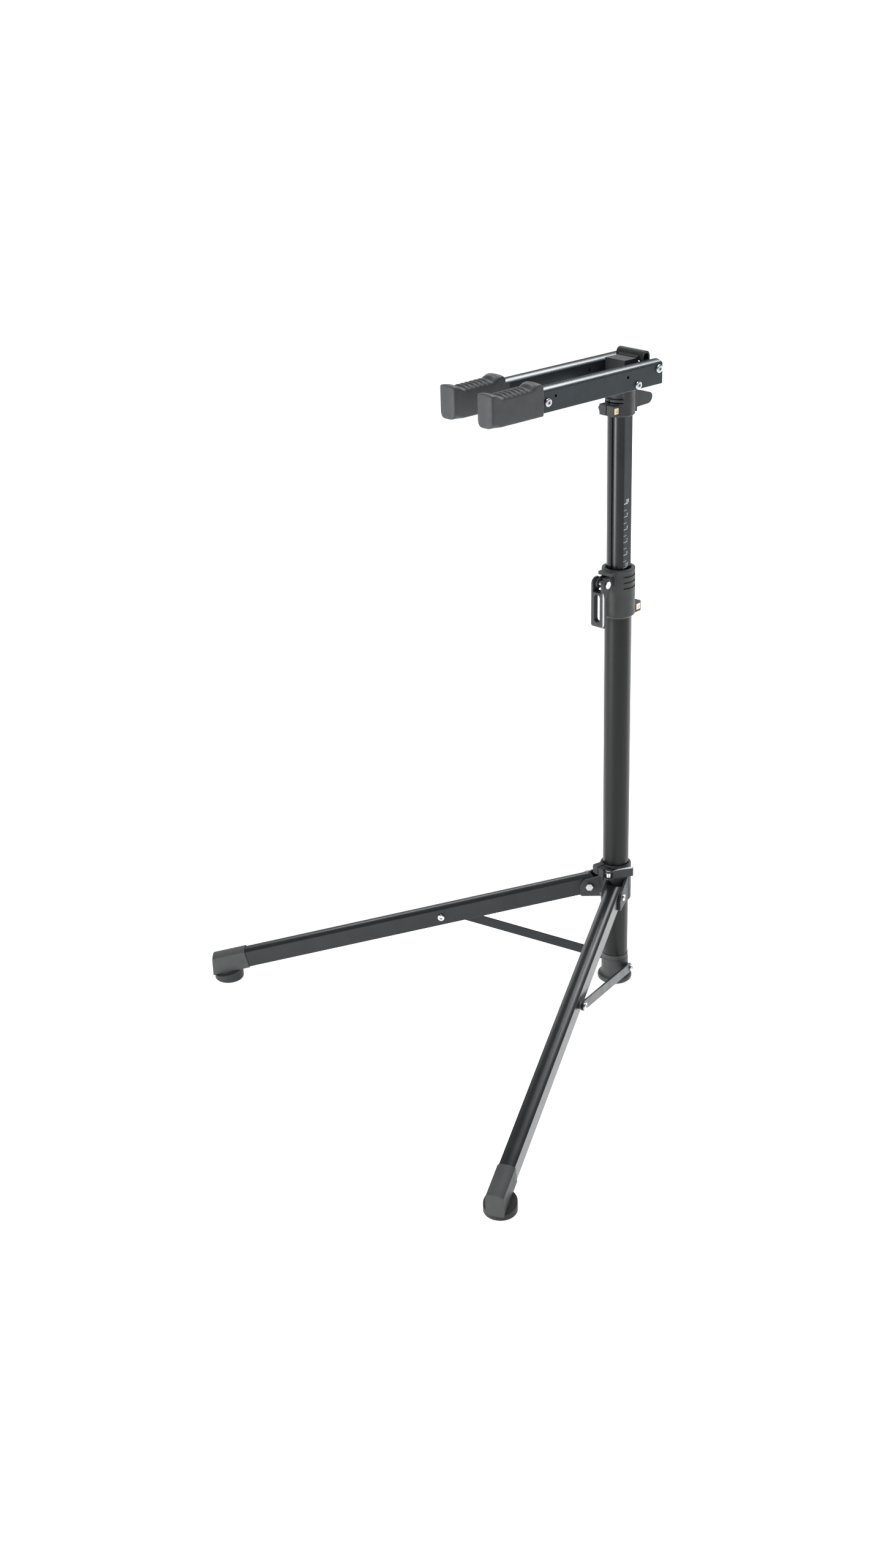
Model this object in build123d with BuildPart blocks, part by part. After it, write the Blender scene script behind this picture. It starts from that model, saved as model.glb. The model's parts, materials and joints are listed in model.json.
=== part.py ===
"""Folding repair stand: a mast on its own foot, two folding legs and two arms that cradle a bicycle.

Millimetres. The mast stands on the origin, +Z is up and the arms point along -Y.
Azimuths are counted from -Y towards +X. Every leg is described in its own upright plane:
r is the distance from the mast's axis, and off is the distance outwards from that plane.
"""

from build123d import *
from math import atan2, cos, pi, radians, sin, sqrt
import os

os.makedirs("parts", exist_ok=True)

# --- clearances -------------------------------------------------------------------------------
RUN = 0.05  # radial clearance of a shaft that turns in its hole
GAP = 0.3  # space between faces that slide past each other

# --- mast -------------------------------------------------------------------------------------
MAST_R = 25.0
MAST_WALL = 1.8
MAST_BOTTOM = 8.0
MAST_TOP = 826.0
FOOT_SEAM = 50.0
FOOT_R = 26.4
FOOT_FLARE_R = 33.9

# --- middle collar and its quick release --------------------------------------------------------
COLLAR_YAW = 6.0
COLLAR_R = 30.6
COLLAR_BOTTOM = 767.5
COLLAR_TOP = 859.8
CAM_Y = -48.4
CAM_Z = 839.8
LEVER_HALF = 13.4
LEVER_FRONT = -62.0
LEVER_BACK = -51.4
LEVER_BOTTOM = 759.5
LOBE_R = 12.0
CHEEK_IN = 4.2
CHEEK_OUT = 8.5
REAR_BOLT_Y = 42.0
REAR_BOLT_Z = 774.4

# --- upper tube -----------------------------------------------------------------------------------
UPPER_HALF = 19.3
UPPER_FLAT = 11.0
UPPER_CROWN = 19.0
UPPER_WALL = 2.0
UPPER_BOTTOM = 470.0
UPPER_TOP = 1188.0
GROOVE_WIDTH = 6.0

# --- head -----------------------------------------------------------------------------------------
HEAD_R = 26.5
HEAD_BOTTOM = 1138.0
HEAD_RING_TOP = 1162.0
HEAD_BLOCK_BOTTOM = 1190.0
HEAD_BLOCK_TOP = 1236.2
HEAD_BLOCK_HALF = 22.8
HEAD_BOLT_Y = -27.0
HEAD_BOLT_Z = 1150.3
EAR_HALF = 17.8

# --- arms -----------------------------------------------------------------------------------------
ARM_X = 45.3
ARM_HALF = 14.0
ARM_BOTTOM = 1193.5
ARM_SIDE_TOP = 1229.0
ARM_CROWN = 1234.8
ARM_WALL = 1.8
ARM_REAR = 42.0
ARM_FRONT = -352.0
GRIP_BACK = -244.0
GRIP_HALF = 18.0
FOLD_Y = -18.7
FOLD_Z = 1201.3
LATCH_Y = 32.3
LATCH_Z = 1220.5
GRIP_BOLT_Y = -232.0
GRIP_BOLT_Z = 1210.6
BLOCK_SWEEP_R = 49.0

# --- hub and its quick release ----------------------------------------------------------------------
HUB_YAW = -6.9
HUB_R = 30.2
HUB_BOTTOM = 180.5
HUB_TOP = 263.0
HUB_EAR_FRONT = -43.8
HUB_EAR_HALF = 15.5
HUB_EAR_LOW = 242.6
HUB_EAR_HIGH = 259.5
SKEWER_Y = -35.5
SKEWER_Z = 250.0
HUB_PIN_X = 22.5

# --- legs and braces ----------------------------------------------------------------------------------
LEG_SPREAD = 36.4
LEG_OFF = 8.6
LEG_SLOPE = 13.36
LEG_HALF = 14.2
LEG_LOW = -17.3
LEG_SIDE_TOP = 16.5
LEG_CROWN = 20.1
LEG_WALL = 1.6
LEG_PIVOT_R = 51.1
LEG_PIVOT_Z = 209.8
LEG_TUBE_END = 735.0
CAP_START = 704.0
CAP_END_R = 806.5
CAP_WALL = 1.6
PAD_R = 28.9
PAD_CENTRE_R = 776.4
BRACE_ALONG = 300.0
BRACE_FOOT_Z = 25.0
BRACE_IN = 28.0
BRACE_OUT = 32.0
BRACE_HALF = 9.25

# --- fasteners ----------------------------------------------------------------------------------------
HEAD_RADIUS = 7.15
HEAD_HEIGHT = 4.0
M8_R = 4.0
M6_R = 3.0


# === frames and small helpers =========================================================================


def axes(azimuth):
    """Outward direction of an azimuth, and the sideways direction to its right."""
    a = radians(azimuth)
    return Vector(sin(a), -cos(a), 0), Vector(cos(a), sin(a), 0)


def side_plane(yaw, offset=0.0):
    """Plane of a yawed frame at x = offset: sketch x is the frame's y, sketch y is height."""
    outward, sideways = axes(yaw)
    return Plane(origin=sideways * offset, x_dir=outward * -1, z_dir=sideways)


def leg_plane(side, off=0.0):
    """Upright plane of a leg, off outwards: sketch x is r, sketch y is height."""
    outward, sideways = axes(HUB_YAW + side * LEG_SPREAD)
    return Plane(origin=sideways * (side * off), x_dir=outward, z_dir=sideways * -1)


def leg_point(side, r, off, z):
    outward, sideways = axes(HUB_YAW + side * LEG_SPREAD)
    return outward * r + sideways * (side * off) + Vector(0, 0, z)


def leg_pin_plane(side, r, off, z):
    """Plane square to a leg's pins, facing outwards from that leg."""
    outward, sideways = axes(HUB_YAW + side * LEG_SPREAD)
    return Plane(origin=leg_point(side, r, off, z), x_dir=outward, z_dir=sideways * side)


def leg_section(side, along):
    """Plane across a leg, along its slope from the pivot: sketch y is the leg's own up."""
    outward, sideways = axes(HUB_YAW + side * LEG_SPREAD)
    direction = outward * cos(radians(LEG_SLOPE)) + Vector(0, 0, -sin(radians(LEG_SLOPE)))
    origin = leg_point(side, LEG_PIVOT_R, LEG_OFF, LEG_PIVOT_Z) + direction * along
    return Plane(origin=origin, x_dir=sideways, z_dir=direction)


def leg_rz(along, up):
    """(r, z) of a point given along a leg's slope and up from its pivot line."""
    c = cos(radians(LEG_SLOPE))
    s = sin(radians(LEG_SLOPE))
    return LEG_PIVOT_R + along * c + up * s, LEG_PIVOT_Z - along * s + up * c


def x_plane(x, y, z, facing=1):
    """Plane square to the X axis at a point, facing +X or -X."""
    return Plane(origin=(x, y, z), x_dir=(0, 1, 0), z_dir=(facing, 0, 0))


def frame_pin_plane(yaw, x, y, z, facing=1):
    """Plane square to a yawed frame's x axis, at a point given in that frame."""
    outward, sideways = axes(yaw)
    origin = sideways * x - outward * y + Vector(0, 0, z)
    return Plane(origin=origin, x_dir=outward * -1, z_dir=sideways * facing)


def upright_plane(yaw, x, y, z):
    """Level plane at a point given in a yawed frame."""
    outward, sideways = axes(yaw)
    return Plane(origin=sideways * x - outward * y + Vector(0, 0, z), x_dir=sideways, z_dir=(0, 0, 1))


def write(piece, name):
    piece.part.label = name
    export_step(piece.part, f"parts/{name}.step")


def disc(plane, radius, height, mode=Mode.ADD):
    """Cylinder that stands on a plane, inside the part being built."""
    with BuildSketch(plane) as outline:
        Circle(radius)
    extrude(outline.sketch, amount=height, mode=mode)


def slab(plane, width, depth, height, mode=Mode.ADD):
    """Block that stands on a plane, inside the part being built."""
    with BuildSketch(plane) as outline:
        Rectangle(width, depth)
    extrude(outline.sketch, amount=height, mode=mode)


def button_head(plane):
    """Domed head with a hexagon socket, standing on a plane."""
    disc(plane, HEAD_RADIUS, HEAD_HEIGHT)
    rim = edges().filter_by(GeomType.CIRCLE).group_by(
        lambda e: round((e.center() - plane.origin).dot(plane.z_dir), 3))[-1]
    fillet(rim, HEAD_HEIGHT * 0.62)
    with BuildSketch(plane.offset(HEAD_HEIGHT)) as socket:
        RegularPolygon(2.9, 6)
    extrude(socket.sketch, amount=-2.2, mode=Mode.SUBTRACT)


def screw(plane, shank_r, shank_length):
    """Button-head screw: the head stands on the plane and the shank goes the other way."""
    with BuildPart() as piece:
        button_head(plane)
        disc(plane, shank_r, -shank_length)
    return piece


def square_nut(plane, hole_r, side=10.6, height=4.0):
    with BuildPart() as piece:
        with BuildSketch(plane):
            Rectangle(side, side)
            Circle(hole_r, mode=Mode.SUBTRACT)
        extrude(amount=height)
    return piece


def hex_nut(plane, hole_r, across_flats=13.0, height=5.5):
    with BuildPart() as piece:
        with BuildSketch(plane):
            RegularPolygon(across_flats / 2, 6, major_radius=False)
            Circle(hole_r, mode=Mode.SUBTRACT)
        extrude(amount=height)
        fillet(edges().filter_by(GeomType.LINE).filter_by(Axis(plane.origin, plane.z_dir)), 0.6)
    return piece


def write_group(pieces, name):
    """Write several separate solids as one node."""
    group = Compound(children=[solid for piece in pieces for solid in piece.part.solids()])
    group.label = name
    export_step(group, f"parts/{name}.step")


def barrel(grow=0.0, groove=True, mode=Mode.ADD):
    """Upper tube's outline: flat sides, crowned front and back, a groove down the front."""
    half = UPPER_HALF + grow
    flat = UPPER_FLAT + grow * 0.3
    crown = UPPER_CROWN + grow
    with BuildLine() as outline:
        Line((half, -flat), (half, flat))
        ThreePointArc((half, flat), (0, crown), (-half, flat))
        Line((-half, flat), (-half, -flat))
        ThreePointArc((-half, -flat), (0, -crown), (half, -flat))
    make_face(outline.edges(), mode=mode)
    if groove:
        with Locations((0, -crown)):
            Rectangle(GROOVE_WIDTH, 5.0, mode=Mode.SUBTRACT)


def crowned(half, low, side_top, crown, mode=Mode.ADD):
    """Outline of the arm and leg tubes: flat sides and bottom, crowned top."""
    with BuildLine() as outline:
        Polyline((-half, side_top), (-half, low), (half, low), (half, side_top))
        ThreePointArc((half, side_top), (0, crown), (-half, side_top))
    make_face(outline.edges(), mode=mode)


# === mast ===============================================================================================

with BuildPart() as lower_tube:
    with BuildSketch(Plane.XY.offset(MAST_BOTTOM)):
        Circle(MAST_R)
        Circle(MAST_R - MAST_WALL, mode=Mode.SUBTRACT)
    extrude(amount=MAST_TOP - MAST_BOTTOM)
    for side in (1, -1):
        disc(leg_pin_plane(side, 0, 0, BRACE_FOOT_Z), M6_R, BRACE_IN, mode=Mode.SUBTRACT)
write(lower_tube, "lower_tube")

with BuildPart() as foot_cap:
    with BuildSketch(Plane.XZ):
        with BuildLine():
            Polyline((0, 0), (31.0, 0), (33.2, 2.0))
            ThreePointArc((33.2, 2.0), (FOOT_FLARE_R, 6.5), (32.4, 11.0))
            ThreePointArc((32.4, 11.0), (28.2, 14.0), (FOOT_R, 20.0))
            Polyline((FOOT_R, 20.0), (FOOT_R, FOOT_SEAM - 1), (25.7, FOOT_SEAM), (25.7, 60.0))
            Polyline((25.7, 60.0), (MAST_R + RUN, 60.0), (MAST_R + RUN, MAST_BOTTOM), (0, MAST_BOTTOM))
            Line((0, MAST_BOTTOM), (0, 0))
        make_face()
    revolve(axis=Axis.Z)
    for side in (1, -1):
        disc(leg_pin_plane(side, 0, 22.0, BRACE_FOOT_Z), 9.0, BRACE_IN - GAP - 22.0)
    disc(Plane.XY.offset(MAST_BOTTOM), MAST_R + RUN, 60.0, mode=Mode.SUBTRACT)
    for side in (1, -1):
        disc(leg_pin_plane(side, 0, 0, BRACE_FOOT_Z), M6_R, BRACE_IN, mode=Mode.SUBTRACT)
        # flat on the flare where the brace's lower end swings past
        with BuildSketch(leg_plane(side, BRACE_IN - GAP + 10)):
            with Locations((0, 13.0 + 20)):
                Rectangle(60, 40)
        extrude(amount=10, both=True, mode=Mode.SUBTRACT)
write(foot_cap, "foot_cap")

write_group(
    [screw(leg_pin_plane(side, 0, BRACE_OUT + 0.2, BRACE_FOOT_Z), M6_R, 14.0) for side in (1, -1)],
    "brace_foot_bolts",
)

# --- middle collar: round sleeve, grooves on its right, ears behind, cheeks and hood in front ------------

COLLAR_FLOOR = upright_plane(COLLAR_YAW, 0, 0, COLLAR_BOTTOM)
with BuildPart() as mid_collar:
    disc(COLLAR_FLOOR, COLLAR_R, COLLAR_TOP - COLLAR_BOTTOM)
    chamfer(edges().filter_by(GeomType.CIRCLE).group_by(Axis.Z)[0], 4.0)
    fillet(edges().filter_by(GeomType.CIRCLE).group_by(Axis.Z)[-1], 2.0)
    # rear clamping ears, split down the middle
    slab(upright_plane(COLLAR_YAW, 0, 37.0, 764.6), 28.0, 25.4, 19.4)
    # hood over the lever
    slab(upright_plane(COLLAR_YAW, 0, -32.5, 852.6), 29.0, 16.0, COLLAR_TOP - 1.0 - 852.6)
    # cheeks that hold the cam pin
    for x in (-CHEEK_OUT, CHEEK_IN):
        with BuildSketch(side_plane(COLLAR_YAW, x)):
            with Locations((CAM_Y, CAM_Z)):
                Circle(8.6)
            with Locations((-38.0, CAM_Z + 1.0)):
                Rectangle(20.0, 20.0)
        extrude(amount=CHEEK_OUT - CHEEK_IN)
    # bores: the mast below, the upper tube's opening above
    disc(COLLAR_FLOOR.offset(-10.0), MAST_R + RUN, 856.0 - COLLAR_BOTTOM, mode=Mode.SUBTRACT)
    disc(COLLAR_FLOOR, 23.6, COLLAR_TOP - COLLAR_BOTTOM, mode=Mode.SUBTRACT)
    # window for the clamp shoe
    slab(upright_plane(COLLAR_YAW, 0, -31.0, 830.0), 2 * CHEEK_IN, 22.0, 20.0, mode=Mode.SUBTRACT)
    disc(frame_pin_plane(COLLAR_YAW, -CHEEK_OUT - 1, CAM_Y, CAM_Z), M6_R + RUN, 19.0, mode=Mode.SUBTRACT)
    # split behind, and the clamp bolt's hole across it
    slab(upright_plane(COLLAR_YAW, 0, 37.0, 760.0), 2.4, 30.0, 30.0, mode=Mode.SUBTRACT)
    disc(frame_pin_plane(COLLAR_YAW, -16, REAR_BOLT_Y, REAR_BOLT_Z), M6_R, 32.0, mode=Mode.SUBTRACT)
    # pocket of the square nut
    with BuildSketch(frame_pin_plane(COLLAR_YAW, 10.6, REAR_BOLT_Y, REAR_BOLT_Z)):
        Rectangle(10.6, 10.6)
    extrude(amount=6.0, mode=Mode.SUBTRACT)
    # three finger grooves round the right-hand side
    for z in (848.4, 837.6, 826.8):
        with BuildSketch(upright_plane(COLLAR_YAW, 0, 0, z - 1.9)):
            Circle(COLLAR_R + 4)
            Circle(COLLAR_R - 1.9, mode=Mode.SUBTRACT)
            with Locations((-20, 0)):
                Rectangle(90, 90, mode=Mode.SUBTRACT)
        extrude(amount=3.8, mode=Mode.SUBTRACT)
write(mid_collar, "mid_collar")

with BuildPart() as collar_bush:
    with BuildSketch(upright_plane(COLLAR_YAW, 0, 0, 786.0)):
        Circle(MAST_R - MAST_WALL - RUN)
        barrel(grow=GAP, groove=False, mode=Mode.SUBTRACT)
    extrude(amount=MAST_TOP - 786.0)
    with BuildSketch(upright_plane(COLLAR_YAW, 0, 0, MAST_TOP)):
        Circle(MAST_R)
        barrel(grow=GAP, groove=False, mode=Mode.SUBTRACT)
    extrude(amount=3.0)
write(collar_bush, "collar_bush")

with BuildPart() as collar_clamp_bolt:
    button_head(frame_pin_plane(COLLAR_YAW, -14.0, REAR_BOLT_Y, REAR_BOLT_Z, facing=-1))
    disc(frame_pin_plane(COLLAR_YAW, -14.0, REAR_BOLT_Y, REAR_BOLT_Z), M6_R, 27.5)
write(collar_clamp_bolt, "collar_clamp_bolt")

collar_square_nut = square_nut(frame_pin_plane(COLLAR_YAW, 10.6, REAR_BOLT_Y, REAR_BOLT_Z), M6_R, height=3.6)
write(collar_square_nut, "collar_square_nut")

SHOE_BACK = -UPPER_CROWN - GAP
SHOE_FRONT = CAM_Y + 6.0
with BuildPart() as clamp_shoe:
    slab(
        upright_plane(COLLAR_YAW, 0, (SHOE_BACK + SHOE_FRONT) / 2, 832.0),
        2 * (CHEEK_IN - 0.2),
        SHOE_BACK - SHOE_FRONT,
        15.6,
    )
write(clamp_shoe, "clamp_shoe")

# === quick-release lever of the middle collar =============================================================

with BuildPart() as mid_lever:
    with BuildSketch(side_plane(COLLAR_YAW, -LEVER_HALF)):
        with BuildLine():
            Line((LEVER_BACK, 815.0), (LEVER_BACK, LEVER_BOTTOM + 3))
            Polyline((LEVER_BACK, LEVER_BOTTOM + 3), (LEVER_BACK - 2, LEVER_BOTTOM), (LEVER_FRONT + 3, LEVER_BOTTOM))
            Polyline((LEVER_FRONT + 3, LEVER_BOTTOM), (LEVER_FRONT, LEVER_BOTTOM + 4), (LEVER_FRONT, 841.0))
            ThreePointArc((LEVER_FRONT, 841.0), (-57.6, 849.2), (CAM_Y, CAM_Z + LOBE_R))
            ThreePointArc((CAM_Y, CAM_Z + LOBE_R), (CAM_Y + LOBE_R, CAM_Z), (CAM_Y + 5.0, CAM_Z - 10.9))
            Line((CAM_Y + 5.0, CAM_Z - 10.9), (LEVER_BACK, 815.0))
        make_face()
    extrude(amount=2 * LEVER_HALF)
    # fork: open between the webs above the blade
    slab(upright_plane(COLLAR_YAW, 0, -49.0, 826.0), 2 * (CHEEK_OUT + GAP), 40.0, 40.0, mode=Mode.SUBTRACT)
    # slot window right through the blade, in a shallow recess
    slot_outward = axes(COLLAR_YAW)[0]
    slot_front = Plane(
        origin=slot_outward * -LEVER_FRONT + Vector(0, 0, 796.0),
        x_dir=axes(COLLAR_YAW)[1],
        z_dir=slot_outward,
    )
    with BuildSketch(slot_front):
        RectangleRounded(12.6, 52.5, 6.0)
    extrude(amount=-20, mode=Mode.SUBTRACT)
    disc(frame_pin_plane(COLLAR_YAW, -20, CAM_Y, CAM_Z), M6_R, 40.0, mode=Mode.SUBTRACT)
write(mid_lever, "mid_lever")

with BuildPart() as mid_lever_pin:
    disc(frame_pin_plane(COLLAR_YAW, -LEVER_HALF, CAM_Y, CAM_Z), M6_R, 2 * LEVER_HALF)
    for facing in (1, -1):
        disc(frame_pin_plane(COLLAR_YAW, facing * LEVER_HALF, CAM_Y, CAM_Z, facing=facing), 7.2, 2.4)
    fillet(edges().filter_by(GeomType.CIRCLE).filter_by(lambda e: e.radius > 7), 1.0)
write(mid_lever_pin, "mid_lever_pin")

with BuildPart() as mid_lever_cam:
    with BuildSketch(frame_pin_plane(COLLAR_YAW, -CHEEK_IN + 0.4, CAM_Y, CAM_Z)):
        with Locations((0.5, 0)):
            Circle(5.2)
        Circle(M6_R, mode=Mode.SUBTRACT)
    extrude(amount=2 * (CHEEK_IN - 0.4))
write(mid_lever_cam, "mid_lever_cam")

# === upper tube ===========================================================================================

with BuildPart() as upper_tube:
    with BuildSketch(upright_plane(COLLAR_YAW, 0, 0, UPPER_BOTTOM)):
        barrel()
        with BuildLine():
            half = UPPER_HALF - UPPER_WALL
            flat = UPPER_FLAT - 1.0
            crown = UPPER_CROWN - UPPER_WALL
            Line((half, -flat), (half, flat))
            ThreePointArc((half, flat), (0, crown), (-half, flat))
            Line((-half, flat), (-half, -flat))
            Line((-half, -flat), (-5.2, -14.6))
            Line((-5.2, -14.6), (5.2, -14.6))
            Line((5.2, -14.6), (half, -flat))
        make_face(mode=Mode.SUBTRACT)
    extrude(amount=UPPER_TOP - UPPER_BOTTOM)
write(upper_tube, "upper_tube")

with BuildPart() as tube_slider:
    disc(upright_plane(COLLAR_YAW, 0, 0, UPPER_BOTTOM - 14.0), MAST_R - MAST_WALL - GAP, 14.0)
    with BuildSketch(upright_plane(COLLAR_YAW, 0, 0, UPPER_BOTTOM)):
        Rectangle(2 * (UPPER_HALF - UPPER_WALL) - 0.4, 19.0)
    extrude(amount=26.0)
    fillet(edges().filter_by(GeomType.CIRCLE).group_by(Axis.Z)[0], 2.5)
write(tube_slider, "tube_slider")

# === head =================================================================================================

FOLD_PLANE = x_plane(-HEAD_BLOCK_HALF, 0, 0)
with BuildPart() as head_clamp:
    # clamp ring and the column above it
    disc(Plane.XY.offset(HEAD_BOTTOM), HEAD_R, HEAD_BLOCK_BOTTOM + 2 - HEAD_BOTTOM)
    chamfer(edges().filter_by(GeomType.CIRCLE).group_by(Axis.Z)[0], 2.0)
    # front half of the column is a thin disc with a slimmer neck above it
    slab(Plane.XY.offset(1168.5).move(Location((0, -43.6, 0))), 80, 60.0, 21.0, mode=Mode.SUBTRACT)
    disc(Plane.XY.offset(1160.0), 22.6, 32.0)
    # clamping ears
    slab(Plane.XY.offset(1141.0).move(Location((0, -22.0, 0))), 2 * EAR_HALF, 24.0, 18.4)
    fillet(edges().filter_by(Axis.Z).group_by(Axis.Y)[0], 1.6)
    # rear column and the hook that carries the folded strap
    slab(Plane.XY.offset(1141.0).move(Location((0, 18.0, 0))), 30.0, 19.0, 50.0)
    with BuildSketch(x_plane(-10.0, 0, 0)):
        with BuildLine():
            Polyline((20.0, 1140.0), (26.0, 1146.0), (59.0, 1147.2))
            ThreePointArc((59.0, 1147.2), (68.0, 1151.0), (71.2, 1159.5))
            Polyline((71.2, 1159.5), (70.0, 1163.6), (66.0, 1166.4), (36.0, 1174.6), (20.0, 1178.0), (20.0, 1140.0))
        make_face()
    extrude(amount=20.0)
    # block between the arms, with its fold boss
    with BuildSketch(FOLD_PLANE):
        with BuildLine():
            Line((-13.8, HEAD_BLOCK_BOTTOM), (-13.8, HEAD_BLOCK_TOP))
            reach = sqrt(BLOCK_SWEEP_R**2 - (HEAD_BLOCK_TOP - FOLD_Z) ** 2)
            low_reach = sqrt(BLOCK_SWEEP_R**2 - (FOLD_Z - HEAD_BLOCK_BOTTOM) ** 2)
            Line((-13.8, HEAD_BLOCK_TOP), (FOLD_Y + reach, HEAD_BLOCK_TOP))
            ThreePointArc(
                (FOLD_Y + reach, HEAD_BLOCK_TOP),
                (FOLD_Y + BLOCK_SWEEP_R * cos(radians(18)), FOLD_Z + BLOCK_SWEEP_R * sin(radians(18))),
                (FOLD_Y + low_reach, HEAD_BLOCK_BOTTOM),
            )
            Line((FOLD_Y + low_reach, HEAD_BLOCK_BOTTOM), (-13.8, HEAD_BLOCK_BOTTOM))
        make_face()
        with Locations((FOLD_Y, FOLD_Z)):
            Circle(10.0)
        with Locations(((FOLD_Y - 13.8) / 2, FOLD_Z - 2)):
            Rectangle(8, 16)
    extrude(amount=2 * HEAD_BLOCK_HALF)
    # side bosses reach out to the arms
    disc(x_plane(-31.0, FOLD_Y, FOLD_Z), 10.0, 62.0)
    # bores: upper tube, fold bolt, clamp bolt and its nut
    disc(Plane.XY.offset(HEAD_BOTTOM), 22.35, UPPER_TOP - HEAD_BOTTOM, mode=Mode.SUBTRACT)
    disc(x_plane(-32, FOLD_Y, FOLD_Z), 6.0, 64.0, mode=Mode.SUBTRACT)
    disc(x_plane(-20, HEAD_BOLT_Y, HEAD_BOLT_Z), M6_R, 40.0, mode=Mode.SUBTRACT)
    with BuildSketch(x_plane(EAR_HALF - 3.6, HEAD_BOLT_Y, HEAD_BOLT_Z)):
        Rectangle(10.6, 10.6)
    extrude(amount=6.0, mode=Mode.SUBTRACT)
    # slit between the ears and the relief slot above the ring
    slab(Plane.XY.offset(HEAD_BOTTOM).move(Location((-0.6, -30, 0))), 2.2, 30.0, 30.0, mode=Mode.SUBTRACT)
    slab(Plane.XY.offset(HEAD_RING_TOP).move(Location((0, -43.6, 0))), 80.0, 60.0, 2.2, mode=Mode.SUBTRACT)
    # channel of the hook, open at the top
    with BuildSketch(x_plane(-6.6, 0, 0)):
        with BuildLine():
            Line((29.5, 1180.0), (29.5, 1153.0))
            Line((29.5, 1153.0), (58.0, 1152.4))
            ThreePointArc((58.0, 1152.4), (64.2, 1155.0), (66.0, 1161.0))
            Line((66.0, 1161.0), (66.0, 1180.0))
            Line((66.0, 1180.0), (29.5, 1180.0))
        make_face()
    extrude(amount=13.2, mode=Mode.SUBTRACT)
write(head_clamp, "head_clamp")

with BuildPart() as head_clamp_bolt:
    button_head(x_plane(-EAR_HALF, HEAD_BOLT_Y, HEAD_BOLT_Z, facing=-1))
    disc(x_plane(-EAR_HALF, HEAD_BOLT_Y, HEAD_BOLT_Z), M6_R, 2 * EAR_HALF - 0.8)
write(head_clamp_bolt, "head_clamp_bolt")

head_square_nut = square_nut(x_plane(EAR_HALF - 3.6, HEAD_BOLT_Y, HEAD_BOLT_Z), M6_R, height=3.4)
write(head_square_nut, "head_square_nut")

bushes = []
for facing in (1, -1):
    with BuildPart() as fold_bush:
        with BuildSketch(x_plane(facing * 31.0, FOLD_Y, FOLD_Z, facing=-facing)):
            Circle(6.0)
            Circle(M8_R + RUN, mode=Mode.SUBTRACT)
        extrude(amount=18.0)
    bushes.append(fold_bush)
write_group(bushes, "arm_pivot_bushes")

# === arms =================================================================================================

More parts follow.
